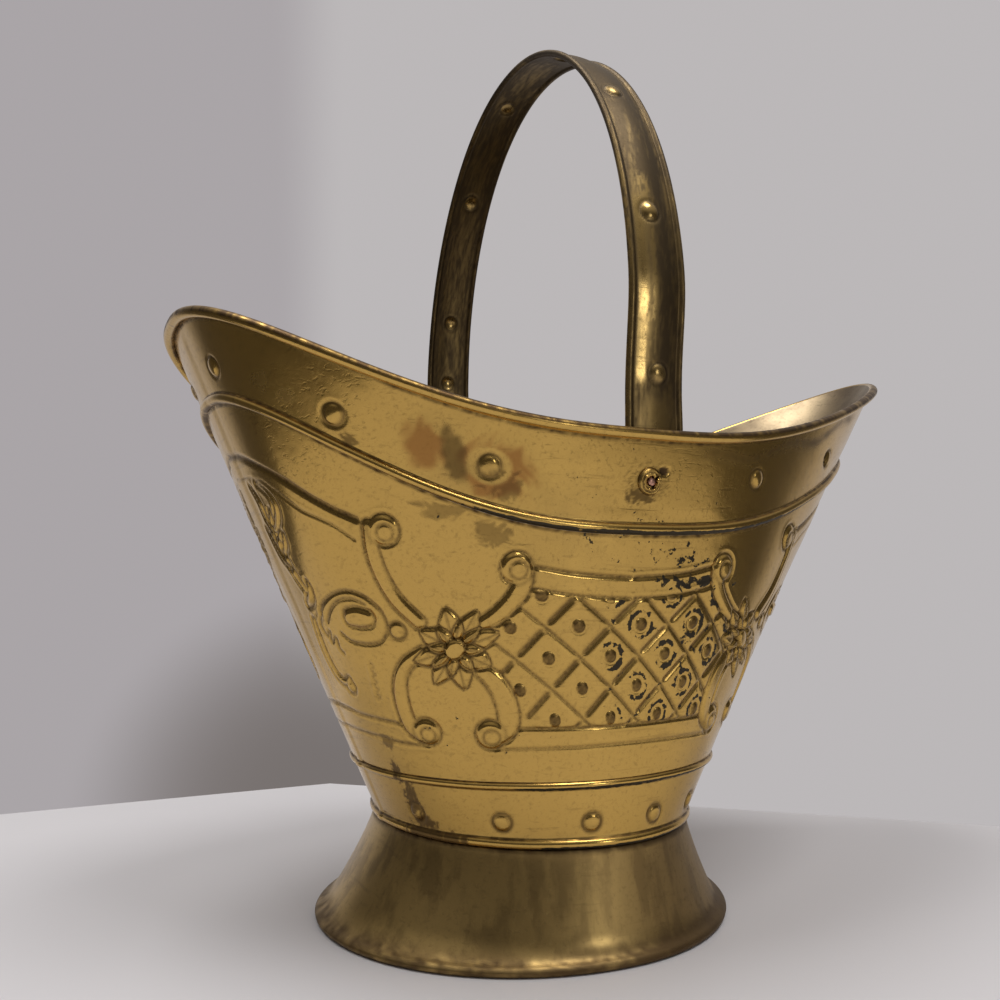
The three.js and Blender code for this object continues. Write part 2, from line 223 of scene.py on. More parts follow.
def oval_points(size, angle):
    """Points of an oval; the angle is 0 at the lip and a half turn at the back."""
    cosine, sine = np.cos(angle), np.sin(angle)
    front = cosine >= 0
    reach = np.where(front, size["front"], size["back"])
    power = 2 / np.where(front, size["front_fullness"], size["back_fullness"])
    return (np.sign(cosine) * reach * np.abs(cosine) ** power,
            np.sign(sine) * size["side"] * np.abs(sine) ** power)


def wall_points(angle, height):
    """Points of the near side's outer face, in millimetres, x from the widest section."""
    share = (np.asarray(height, float) - waist_height) / (mouth_height - waist_height)
    size = {name: waist[name] + (mouth[name] - waist[name]) * share for name in waist}
    x, y = oval_points(size, np.asarray(angle, float))
    return np.stack(np.broadcast_arrays(x, -y, height), axis=-1)


def unit(vectors):
    return vectors / np.linalg.norm(vectors, axis=-1, keepdims=True)


def wall_directions(angle, height):
    """The directions towards the lip, up the wall and out of it."""
    step = 0.002
    forward = unit(wall_points(angle - step, height) - wall_points(angle + step, height))
    rise = unit(wall_points(angle, height + 1) - wall_points(angle, height - 1))
    outward = unit(np.cross(forward, rise))
    return forward, rise, outward


def swept(line, angle):
    """The height of the rim or the collar, which is lowest at the sides."""
    side, front, back, sweep = line
    cosine = np.cos(angle)
    end = np.where(cosine >= 0, front, back)
    return side + (end - side) * np.abs(cosine) ** sweep


# The ornament is laid out on the wall by two measures: millimetres around the wall from the middle
# of the near side at the rosettes' level, positive to the lip, and the height.
rosette_level = 130
ornament_middle = -5.0                      # the ornament's middle lies behind the widest section
angle_table = np.linspace(-0.2, math.pi + 0.2, 3001)
level_points = wall_points(angle_table, np.full(3001, rosette_level))
run = np.concatenate([[0], np.cumsum(np.linalg.norm(np.diff(level_points, axis=0), axis=1))])
around_table = np.interp(math.pi / 2, angle_table, run) - run - ornament_middle


def angle_at(around):
    return np.interp(-np.asarray(around, float), -around_table, angle_table)


def around_at(angle):
    return float(np.interp(angle, angle_table, around_table))


back_end = around_at(math.pi)


def spot_on_wall(around, height):
    return wall_points(angle_at(np.array([around])), np.array([float(height)]))


def bead_rows(height, radius, steps):
    """Rows over a half-round bead: each has its height, and its offset out of and up the wall."""
    return [(height, radius * math.cos(bend), radius * math.sin(bend))
            for bend in np.linspace(-math.pi / 2, math.pi / 2, steps + 1)]


def wall_rows(low, high, steps):
    return [(low + (high - low) * share, 0.0, 0.0) for share in np.linspace(0, 1, steps + 1)]


def curl_rows(height, radius, stop, steps):
    """Rows over the rolled rim, from the wall outwards over the wire."""
    return [(height, radius + radius * math.cos(bend), radius * math.sin(bend))
            for bend in np.linspace(math.pi, stop, steps + 1)]


class Sheet:
    """A patch of the shell before it is pressed: points on the wall, and what is raised there."""

    def __init__(self, name, angles, rows):
        bm = bmesh.new()
        bmesh.ops.create_grid(bm, x_segments=len(angles) - 1, y_segments=len(rows) - 1, size=0.5)
        for edge in bm.edges:
            edge.smooth = not edge.is_boundary
        self.mesh = mesh_from(bm, name)
        flat = np.empty(len(self.mesh.vertices) * 3)
        self.mesh.vertices.foreach_get("co", flat)
        flat = flat.reshape(-1, 3)
        column = np.rint((flat[:, 0] + 0.5) * (len(angles) - 1)).astype(int)
        row = np.rint((flat[:, 1] + 0.5) * (len(rows) - 1)).astype(int)
        self.row = row
        self.angle = angles[column]
        heights = [np.broadcast_to(height, angles.shape) for height, _, _ in rows]
        self.height = np.array(heights)[row, column]
        self.out = np.array([out for _, out, _ in rows])[row]
        self.up = np.array([up for _, _, up in rows])[row]
        self.points = wall_points(self.angle, self.height)
        _, self.rise, self.outward = wall_directions(self.angle, self.height)
        self.raised = np.zeros(len(self.angle))
        # The next layer, brown stain, also holds painted shade and a painted dark reflection.
        self.dirt_and_shade = np.zeros(len(self.angle))       # brown stain
        self.flaking = np.zeros(len(self.angle))    # share covered by black flakes
        self.bloom = np.zeros(len(self.angle))      # reddish bloom
        self.around = np.interp(self.angle, angle_table, around_table)

    def near_to(self, places, reach):
        """Numbers of the points that lie within a box round some places."""
        low, high = places.min(axis=0) - reach, places.max(axis=0) + reach
        return np.nonzero(np.all((self.points > low) & (self.points < high), axis=1))[0]


def smooth(share):
    share = np.clip(share, 0, 1)
    return share * share * (3 - 2 * share)


def ragged(points, size):
    """Uneven patches between 0 and 1, about a size in millimetres across."""
    drift = points / size
    drift = drift + 0.9 * np.sin(drift[:, [1, 2, 0]] * 1.7 + 0.6)
    drift = drift + 0.6 * np.sin(drift[:, [2, 0, 1]] * 3.1 + 1.9)
    cloud = np.sin(drift @ (2.1, 1.3, 1.7)) + np.sin(drift @ (-1.9, 2.6, 3.3) + 1.1)
    cloud = cloud + 0.7 * np.sin(drift @ (4.3, -3.7, 5.2) + 2)
    return np.clip(0.5 + 0.22 * cloud, 0, 1)


def ridge(gap, width):
    """A smooth bump along a line: 1 where the gap is 0, and near 0 beyond two widths."""
    return np.exp(-(gap / width) ** 2)


def patch(sheet, layer, around, height, wide, tall, strength, grain=6.0):
    """Marks an uneven oval patch on a layer of the sheet; a coarse grain gives a smoother edge."""
    reach = np.hypot((sheet.around - around) / wide, (sheet.height - height) / tall)
    unevenness = 0.9 if grain < 10 else 0.4
    cover = smooth((1.0 - reach - unevenness * (ragged(sheet.points, grain) - 0.5)) / 0.45)
    layer[:] = np.maximum(layer, strength * cover)


def flowing(controls, steps=10):
    """A smooth line through its control points, each a place around the wall, a height, and a width."""
    controls = np.array(controls, float)
    ends = np.vstack([2 * controls[0] - controls[1], controls, 2 * controls[-1] - controls[-2]])
    line = []
    for a, b, c, d in zip(ends, ends[1:], ends[2:], ends[3:]):
        for t in np.linspace(0, 1, steps, endpoint=False):
            line.append(0.5 * (2 * b + (c - a) * t + (2 * a - 5 * b + 4 * c - d) * t**2
                               + (3 * b - a - 3 * c + d) * t**3))
    return np.vstack([line, controls[-1]])


def places_of(line):
    return wall_points(angle_at(line[:, 0]), line[:, 1])


def gap_to_line(points, line):
    """The distance from each point to the edge of a line with a width."""
    places = places_of(line)
    gap = np.full(len(points), 1e3)
    for start, end, wide, narrow in zip(places, places[1:], line[:, 2], line[1:, 2]):
        along = end - start
        share = np.clip((points - start) @ along / max(along @ along, 1e-9), 0, 1)
        beside = np.linalg.norm(points - start - share[:, None] * along, axis=1)
        gap = np.minimum(gap, beside - (wide + (narrow - wide) * share))
    return gap


def gap_to_disc(points, disc):
    around, height, radius = disc
    return np.linalg.norm(points - spot_on_wall(around, height), axis=1) - radius


def press(sheet, lines, discs=(), height=0.9, shoulder=2.0, groove=0.45, groove_width=0.75, stain=0.8):
    """Raises a motif made of bands and discs, and chases a groove round its outline."""
    places = [places_of(line) for line in lines]
    places += [spot_on_wall(around, level) for around, level, _ in discs]
    at = sheet.near_to(np.vstack(places), 14)
    if len(at) == 0:
        return
    points = sheet.points[at]
    gap = np.full(len(at), 1e3)
    for line in lines:
        gap = np.minimum(gap, gap_to_line(points, line))
    for disc in discs:
        gap = np.minimum(gap, gap_to_disc(points, disc))
    inside = smooth(0.5 - gap / 0.6)
    swell = height * smooth(-gap / shoulder)
    trench = -groove * ridge(gap - 0.3, groove_width)
    lift = 0.16 * ridge(gap - 2.2, 1.1)
    raised = sheet.raised[at]
    sheet.raised[at] = raised * (1 - inside) + swell + trench + lift * (1 - inside)
    sheet.flaking[at] *= 1 - inside
    stain = stain * (0.55 + 0.6 * ragged(points, 1.6))
    sheet.dirt_and_shade[at] = np.maximum(sheet.dirt_and_shade[at] * (1 - inside),
                                stain * ridge(gap - 0.35, 0.9 * groove_width))


def chase(sheet, controls, depth=0.45, width=0.75, stain=0.75):
    """A grooved line through its control points, each a place around the wall and a height."""
    line = flowing([(around, height, 0) for around, height in controls])
    at = sheet.near_to(places_of(line), 5)
    if len(at) == 0:
        return
    gap = gap_to_line(sheet.points[at], line)
    sheet.raised[at] += -depth * ridge(gap, width) + 0.12 * ridge(gap - 1.9, 0.9)
    stain = stain * (0.55 + 0.6 * ragged(sheet.points[at], 1.6))
    sheet.dirt_and_shade[at] = np.maximum(sheet.dirt_and_shade[at], stain * ridge(gap, 1.05 * width))


def dome(sheet, disc, height, flat=0.0, ring=0.25, stain=0.3):
    """A round boss; flat is the share of its radius that stays level on top."""
    around, level, radius = disc
    centre = spot_on_wall(around, level)
    at = sheet.near_to(centre, radius + 5)
    if len(at) == 0:
        return
    far = np.linalg.norm(sheet.points[at] - centre, axis=1) / radius
    share = np.clip((far - flat) / (1 - flat), 0, 1)
    sheet.raised[at] += height * np.sqrt(1 - share**2) ** 1.3
    sheet.raised[at] -= ring * ridge((far - 1.1) * radius, 0.8)
    sheet.dirt_and_shade[at] = np.maximum(sheet.dirt_and_shade[at], stain * ridge((far - 1.08) * radius, 0.9))


def local_of(sheet, at, around, height):
    """Flat coordinates, along the wall and up it, from a place on the wall."""
    forward, rise, _ = wall_directions(np.array([angle_at(around)]), np.array([float(height)]))
    offset = sheet.points[at] - spot_on_wall(around, height)
    return offset @ forward[0], offset @ rise[0]


def rosette(sheet, around, height):
    """Eight pointed leaves, eight narrow ones over the gaps with ticked veins, and a round button."""
    at = sheet.near_to(spot_on_wall(around, height), 24)
    if len(at) == 0:
        return
    x, y = local_of(sheet, at, around, height)
    far, bearing = np.hypot(x, y), np.arctan2(y, x)
    raised, dirt_and_shade = sheet.raised[at], sheet.dirt_and_shade[at]
    petals = 8
    for tip, root, half_width, start, top in ((18.8, 5.0, 5.2, 0.18, 0.9), (13.2, 3.5, 2.6, 0.57, 1.5)):
        for number in range(petals):
            heading = start + number * 2 * math.pi / petals
            long = far * np.cos(bearing - heading)
            across = np.abs(far * np.sin(bearing - heading))
            share = np.clip((long - root) / (tip * (1 - 0.06 * (number % 2)) - root), 0, 1)
            edge = half_width * np.sin(math.pi * share**0.8) ** 0.75 * (1 - 0.35 * share)
            gap = np.where((share > 0) & (share < 1), across - edge, 9.0)
            inside = smooth(0.5 - gap / 0.5)
            vein = 0.35 * ridge(across, 0.55)
            ticks = 0.16 * np.maximum(0, np.sin(long * 4.2)) * ridge(across - 1.0, 0.7)
            leaf = top * smooth(-gap / 1.6) - vein - ticks
            raised = raised * (1 - inside) + leaf * inside - 0.42 * ridge(gap - 0.25, 0.6)
            dirt_and_shade = np.maximum(dirt_and_shade * (1 - 0.6 * inside), 0.9 * ridge(gap - 0.25, 0.6))
            dirt_and_shade = np.maximum(dirt_and_shade, 0.6 * inside * ridge(across, 0.45))
    button = smooth(0.5 - (far - 4.0) / 0.5)
    button_top = 1.5 + 0.5 * np.sqrt(np.clip(1 - (far / 4.0) ** 2, 0, 1))
    raised = raised * (1 - button) + button * button_top
    raised -= 0.5 * ridge(far - 4.3, 0.5)
    sheet.raised[at] = raised
    sheet.dirt_and_shade[at] = np.maximum(dirt_and_shade * (1 - button), 0.9 * ridge(far - 4.3, 0.5))


def scroll(sheet, controls, curl):
    """A C-scroll: a raised band that ends in a round knob with a ring cut into it."""
    press(sheet, [flowing(controls)], [curl], height=0.8)
    dome(sheet, curl, 0.45, flat=0.4, ring=0)
    at = sheet.near_to(spot_on_wall(*curl[:2]), 9)
    if len(at):
        eye = (curl[0] + 0.6, curl[1] - 0.8, curl[2] * 0.55)
        ring = ridge(gap_to_disc(sheet.points[at], eye), 0.7)
        sheet.raised[at] -= 0.4 * ring
        stain = 0.65 * ring * (0.5 + 0.6 * ragged(sheet.points[at], 2.0))
        sheet.dirt_and_shade[at] = np.maximum(sheet.dirt_and_shade[at], stain)


def mirrored(controls):
    return [(-around, *rest) for around, *rest in controls]


# Scrolls that spring from the rosette on the left of the ornament, each with the knob it ends in:
# upper back, upper front, lower back and lower front. The right ones mirror them.
rosette_place = (-74.2, 132.0)
scrolls = [([(-95.8, 182.0, 2.6), (-97.2, 172.0, 3.1), (-96.6, 162.0, 3.1), (-93.4, 152.0, 3.2),
             (-86.5, 143.0, 3.0)], (-90.0, 180.0, 6.4)),
           ([(-61.5, 142.0, 2.8), (-55.0, 145.6, 3.3), (-48.2, 151.5, 3.6), (-43.8, 157.5, 3.9),
             (-41.8, 163.5, 3.4)], (-44.8, 164.6, 6.4)),
           ([(-88.5, 130.5, 2.4), (-96.5, 126.0, 2.8), (-102.4, 120.0, 3.0), (-105.6, 113.0, 3.4),
             (-106.8, 105.0, 3.6), (-105.8, 98.0, 3.6), (-101.5, 94.5, 3.4)], (-97.4, 96.2, 6.0)),
           ([(-64.5, 122.5, 3.4), (-60.6, 118.0, 4.0), (-58.2, 112.0, 4.2), (-57.4, 105.0, 4.3),
             (-58.8, 99.0, 4.0), (-62.5, 95.6, 3.4)], (-67.4, 96.0, 6.2))]

trellis_middle = (-9.3, 127.8)              # a diamond's middle, off the ornament's own middle
trellis_step = (27.6, 25.7)                 # a diamond's width and height
trellis_low = 98.4


def trellis(sheet):
    """Diamonds between chased lines, each with a brown dot raised in its middle."""
    inside = (np.abs(sheet.around) < 66) & (sheet.height > 97) & (sheet.height < 158)
    at = np.nonzero(inside)[0]
    if len(at) == 0:
        return
    around, height = sheet.around[at], sheet.height[at]
    top = 151.9 + 0.0031 * around**2
    field = smooth((top - height) / 1.0) * smooth((height - trellis_low) / 1.0)
    field *= smooth((62 - 0.022 * (height - 127) ** 2 - np.abs(around)) / 2 + 1)
    x = (around - trellis_middle[0]) / trellis_step[0]
    y = (height - trellis_middle[1]) / trellis_step[1]
    cell = trellis_step[0] * trellis_step[1] / math.hypot(*trellis_step)
    falling = (x + y + 0.5) - np.floor(x + y + 0.5) - 0.5
    rising = (x - y + 0.5) - np.floor(x - y + 0.5) - 0.5
    thin = (0.5 - np.abs(falling)) * cell
    deep = (0.5 - np.abs(rising)) * cell
    dash = smooth((0.5 - np.abs(falling)) / 0.16)
    line = ridge(thin, 0.7)
    slot = ridge(deep, 0.45 + 0.65 * dash) * dash
    pillow = 0.35 * smooth(thin / 3.2) * smooth(deep / 3.2)
    patchy = ragged(sheet.points[at], 2.2)
    sheet.raised[at] += field * (pillow - 0.32 * line - 0.55 * slot)
    stain = np.maximum((0.5 + 0.35 * patchy) * line, (0.6 + 0.3 * patchy) * slot)
    dot = np.hypot((falling + rising) / 2 * trellis_step[0], (falling - rising) / 2 * trellis_step[1])
    knob = 0.75 * np.sqrt(np.clip(1 - (dot / 2.6) ** 2, 0, 1))
    sheet.raised[at] += field * (knob - 0.3 * ridge(dot - 3.1, 0.6))
    stain = np.maximum(stain, (0.62 + 0.25 * patchy) * smooth((2.9 - dot) / 0.5))
    sheet.dirt_and_shade[at] = np.maximum(sheet.dirt_and_shade[at], field * stain)
    black_end = field * smooth((around + 22) / 14)
    crust = 0.62 * ridge(dot - 5.4, 1.7) * smooth((dot - 3.2) / 0.8)
    crust = np.maximum(crust, 0.35 * ridge(deep, 2.0))
    crust = black_end * crust * (0.75 + 0.5 * ragged(sheet.points[at], 5.0))
    sheet.flaking[at] = np.maximum(sheet.flaking[at], crust)


def end_panel(sheet, place):
    """The panel at one end of the side: two borders, a curling shell, a plume and tendrils."""
    for line, depth, width, stain in (
            ([(-99.5, 184.3), (-108, 188.6), (-117.2, 194.3), (-129.7, 202.4), (-145.5, 210.5),
              (-160, 215.5), (-190, 219)], 0.95, 1.5, 0.85),
            ([(-103, 176.5), (-111.6, 183.2), (-124.5, 189.5), (-138.1, 199.0), (-150, 204.5),
              (-190, 209.0)], 0.3, 0.6, 0.5),
            ([(-109, 98.4), (-121.3, 99.4), (-139.3, 101.1), (-151, 103.0), (-190, 106.0)], 0.6, 0.9, 0.75),
            ([(-99, 90.0), (-114.9, 90.1), (-134.3, 92.0), (-190, 95.0)], 0.4, 0.75, 0.75)):
        chase(sheet, place(line), depth, width, stain)
    # The shell: an outline that curls in on itself round a raised eye.
    chase(sheet, place([(-138.5, 146.5), (-133.4, 150.8), (-123.4, 154.6), (-115.1, 155.7), (-108, 153.7),
                        (-102.6, 148.6), (-101, 143.1), (-102.4, 138.3), (-107.3, 134.2), (-115, 133),
                        (-123.6, 134.1), (-128.5, 137.5)]), 0.6, 0.8, 0.8)
    chase(sheet, place([(-135.4, 142.5), (-129.9, 147.6), (-122.5, 151.7), (-114.5, 152.5), (-108.5, 150)]),
          0.35)
    press(sheet, [flowing(place([(-118.6, 144.4, 4.0), (-114.3, 144.5, 4.6), (-110.2, 144.2, 4.0)]))],
          height=1.1, groove=0.5)
    dome(sheet, place([(-96.9, 139.2, 3.6)])[0], 0.35, flat=0.6, ring=0.5, stain=0.7)
    # Its frilled edge towards the seam.
    chase(sheet, place([(-137.6, 146.0), (-142.0, 141.1), (-140.0, 136.5), (-136.6, 138.4), (-138.2, 133.5),
                        (-133.6, 135.5), (-134.1, 131.0), (-132.0, 128.6)]), 0.45, 0.7, 0.7)
    press(sheet, [flowing(place([(-146.5, 150.0, 1.2), (-142.3, 152.5, 2.4), (-139.8, 156.5, 1.5),
                                 (-140.0, 160.2, 0.4)]))], height=0.7)
    # The plume over it and the tendril under it.
    for frond in ([(-143.5, 156, 1.4), (-147.5, 163, 1.8), (-150.0, 172, 2.0), (-150.5, 183, 1.6),
                   (-148.0, 191, 0.9)],
                  [(-150.0, 182, 1.4), (-144.5, 186, 2.0), (-141.0, 191.5, 1.8), (-143.5, 198, 1.2),
                   (-150, 202.5, 0.6)],
                  [(-151.0, 180, 1.2), (-154.0, 188, 1.9), (-154.5, 195, 1.7), (-157.5, 202, 0.8)],
                  [(-149.0, 166, 1.1), (-153.5, 171, 1.7), (-156.5, 178, 1.2), (-158.0, 184, 0.6)],
                  [(-150.0, 172, 1.0), (-145.8, 176, 1.6), (-143.8, 181, 0.6)]):
        press(sheet, [flowing(place(frond))], height=0.6, groove=0.35, stain=0.6)
    press(sheet, [flowing(place([(-147.5, 143.0, 1.2), (-148.7, 134.0, 1.7), (-149.0, 126.0, 1.9),
                                 (-146.5, 118.5, 1.9), (-141.0, 115.2, 1.6), (-136.2, 116.8, 1.2)]))],
          place([(-137.0, 113.4, 3.2)]), height=0.7)
    for number in range(5):
        top, aside = 125 - 3.4 * number, -0.6 * number
        chase(sheet, place([(aside - 117, top), (aside - 115.5, top - 1.6), (aside - 117.5, top - 2.4)]),
              0.18, 0.5, 0.45)


def ornament(sheet):
    trellis(sheet)
    for side in (1, -1):
        # Borders over and under the trellis.
        for line, depth, width, stain in (([(1, 160.4), (22, 161.9), (39, 165.2)], 0.7, 0.9, 0.8),
                                          ([(1, 151.8), (22, 153.1), (41, 156.6)], 0.4, 0.75, 0.75),
                                          ([(1, 98.4), (30, 98.5), (54, 98.6)], 0.5, 0.75, 0.75),
                                          ([(1, 90.6), (34, 90.3), (66, 89.8)], 0.3, 0.7, 0.5)):
            chase(sheet, [(side * around, height) for around, height in line], depth, width, stain)
    for place in (list, mirrored):
        end_panel(sheet, place)
        for controls, curl in scrolls:
            scroll(sheet, place(controls), place([curl])[0])
        rosette(sheet, *place([rosette_place])[0])


def age(sheet):
    """Stains, black flakes and reddish bloom as the photo's side has them; the far side ages alike."""
    patch(sheet, sheet.bloom, -68.5, 211, 8.5, 12, 1.0, 12.0)
    patch(sheet, sheet.dirt_and_shade, -59, 208, 5, 13, 0.6, 14.0)
    patch(sheet, sheet.bloom, -47.0, 202.5, 14, 14, 1.0, 12.0)
    patch(sheet, sheet.dirt_and_shade, -44, 196, 9, 6, 0.45, 6.0)
    # A clean halo round the boss there.
    halo = np.hypot(sheet.around + 48.6, sheet.height - 204.0)
    sheet.bloom[:] *= smooth((halo - 6.5) / 1.5)
    cleaned = (halo < 9) & (halo > 5.5)
    sheet.dirt_and_shade[:] = np.where(cleaned, sheet.dirt_and_shade * smooth((halo - 6) / 3), sheet.dirt_and_shade)
    # Stains on the waist band and its beads, then on the end panel and the rim band.
    for stained in ((-121, 64, 6, 9, 0.8, 4.0), (-125, 76, 3.5, 7, 0.8, 4.0), (-118, 54, 9, 4, 0.8, 4.0),
                    (-113, 48, 26, 4, 0.8, 5.0), (-52, 178, 7, 6, 0.45, 5.0), (-68, 187, 14, 3.5, 0.4, 8.0),
                    (-125, 90, 5, 4, 0.6, 4.0), (-112, 233, 4, 3, 0.45, 3.0), (-121, 240, 5, 4, 0.4, 3.0),
                    (-93, 214, 4, 3, 0.6, 3.0)):
        patch(sheet, sheet.dirt_and_shade, *stained)
    for flaked in ((14, 171, 32, 8, 0.42), (30, 158, 26, 4, 0.55), (-10, 178, 12, 6, 0.35),
                   (5, 184, 8, 4, 0.5), (-45, 98, 30, 5, 0.25), (40, 125, 22, 26, 0.30),
                   (-85, 190, 25, 12, 0.18), (-70, 95, 40, 12, 0.24), (12, 200, 60, 18, 0.17)):
        patch(sheet, sheet.flaking, *flaked)


def shade_bead(sheet, first_row, steps):
    """Brown on both sides of a bead, partly tarnish and partly painted shade, and a black crust on its lower
    half towards the lip.
    """
    share = (sheet.row - first_row) / steps
    on_bead = (share >= 0) & (share <= 1)
    uneven = 0.5 + 0.9 * ragged(sheet.points, 7.0)
    # The brown on the bead's lower and upper sides is partly tarnish and partly painted shade.
    brown = 0.9 * smooth((0.40 - share) / 0.2) + 0.8 * smooth((share - 0.75) / 0.15)
    crust = smooth((0.52 - share) / 0.12) * smooth((sheet.around + 72) / 24)
    crust *= 0.62 + 0.7 * ragged(sheet.points, 9.0)
    sheet.flaking[:] = np.where(on_bead, np.maximum(sheet.flaking, crust), sheet.flaking)
    brown = np.clip(brown * uneven, 0, 0.9)
    sheet.dirt_and_shade[:] = np.where(on_bead, np.maximum(sheet.dirt_and_shade, brown), sheet.dirt_and_shade)


def shade_rim(sheet, rolled_from):
    """Brown on top of the roll, painted shade on its underside and in the joint under it, and a painted dark
    reflection in a wavy band below it towards the lip.
    """
    share = (sheet.row - rolled_from) / curl_steps
    uneven = ragged(sheet.points, 6.0)
    on_roll = 0.95 * smooth((share - 0.05) / 0.15) * smooth((0.60 - share) / 0.10) * (0.45 + 0.9 * uneven)
    # Painted shade on the roll's underside.
    shade_under_roll = 0.95 * smooth((share - 0.82) / 0.08) * (0.3 + 0.9 * ragged(sheet.points, 3.0))
    on_roll = np.maximum(on_roll, shade_under_roll)
    below = swept(rim_line, sheet.angle) - sheet.height
    # Painted shade in the joint just under the roll.
    shade_in_joint = 0.85 * ridge(below - 2.9, 0.8) * (0.3 + 0.9 * uneven)
    # A painted dark reflection in a wavy band below the roll.
    dark_reflection_band = 0.55 * ridge(below - 8.5 - 2.0 * np.sin(sheet.around / 6), 3.0)
    dark_reflection_band *= smooth((sheet.around - 15) / 20) * smooth((125 - sheet.around) / 15)
    dark_reflection_band *= 0.6 + 0.6 * ragged(sheet.points, 14.0)
    brown = np.where(share > 0, on_roll, np.maximum(shade_in_joint, dark_reflection_band))
    sheet.dirt_and_shade[:] = np.maximum(sheet.dirt_and_shade, np.clip(brown, 0, 0.95))


def new_group(name, inputs, output):
    """A node group with number inputs, given as name and value, and one number output."""
    group = bpy.data.node_groups.new(name, "ShaderNodeTree")
    for label, value in inputs.items():
        socket = group.interface.new_socket(label, in_out="INPUT", socket_type="NodeSocketFloat")
        socket.default_value = value
    group.interface.new_socket(output, in_out="OUTPUT", socket_type="NodeSocketFloat")
    return group, group.nodes.new("NodeGroupInput"), group.nodes.new("NodeGroupOutput")


def use_group(tree, group, **values):
    """Places a group and gives its mask."""
    node = add_node(tree, "ShaderNodeGroup", node_tree=group)
    for name, value in values.items():
        feed(tree, value, node, name)
    return node, "Mask"


# Patches of tarnish: Size is about a patch's width in metres, Spread how much they cover, 0 to 1.
patches, given, result = new_group("tarnish_patches", {"Size": 0.03, "Spread": 0.4, "Edge": 0.15, "Seed": 0},
                                   "Mask")
place = add_node(patches, "ShaderNodeTexCoord")
cloud = add_node(patches, "ShaderNodeTexNoise", noise_dimensions="4D", Detail=6, Roughness=0.62)
link(patches, (place, "Object"), (cloud, "Vector"))
link(patches, (given, "Seed"), (cloud, "W"))
link(patches, combined(patches, "DIVIDE", 0.7, (given, "Size")), (cloud, "Scale"))
shore = combined(patches, "SUBTRACT", 0.75, combined(patches, "MULTIPLY", (given, "Spread"), 0.5))
inland = combined(patches, "ADD", shore, (given, "Edge"))
link(patches, stepped(patches, (cloud, "Fac"), shore, inland), (result, "Mask"))

# Fine scratches from years of wiping, in two directions.
scratches, given, result = new_group("wiping_scratches", {"Spacing": 0.004, "Amount": 0.5}, "Mask")
place = add_node(scratches, "ShaderNodeTexCoord")
fineness = combined(scratches, "DIVIDE", 1, (given, "Spacing"))
strokes = []
for turn, stretch in (((0.3, 0.5, 0.2), (0.05, 1.0, 1.6)), ((-0.4, 0.2, 0.9), (1.3, 0.06, 1.2))):
    lay = add_node(scratches, "ShaderNodeMapping", Rotation=turn, Scale=stretch)
    link(scratches, (place, "Object"), (lay, "Vector"))
    grain = add_node(scratches, "ShaderNodeTexNoise", Detail=3, Roughness=0.55)
    link(scratches, (lay, "Vector"), (grain, "Vector"))
    link(scratches, fineness, (grain, "Scale"))
    strokes.append(stepped(scratches, (grain, "Fac"), 0.60, 0.70, "LINEAR"))
either = combined(scratches, "MAXIMUM", *strokes)
link(scratches, combined(scratches, "MULTIPLY", either, (given, "Amount")), (result, "Mask"))


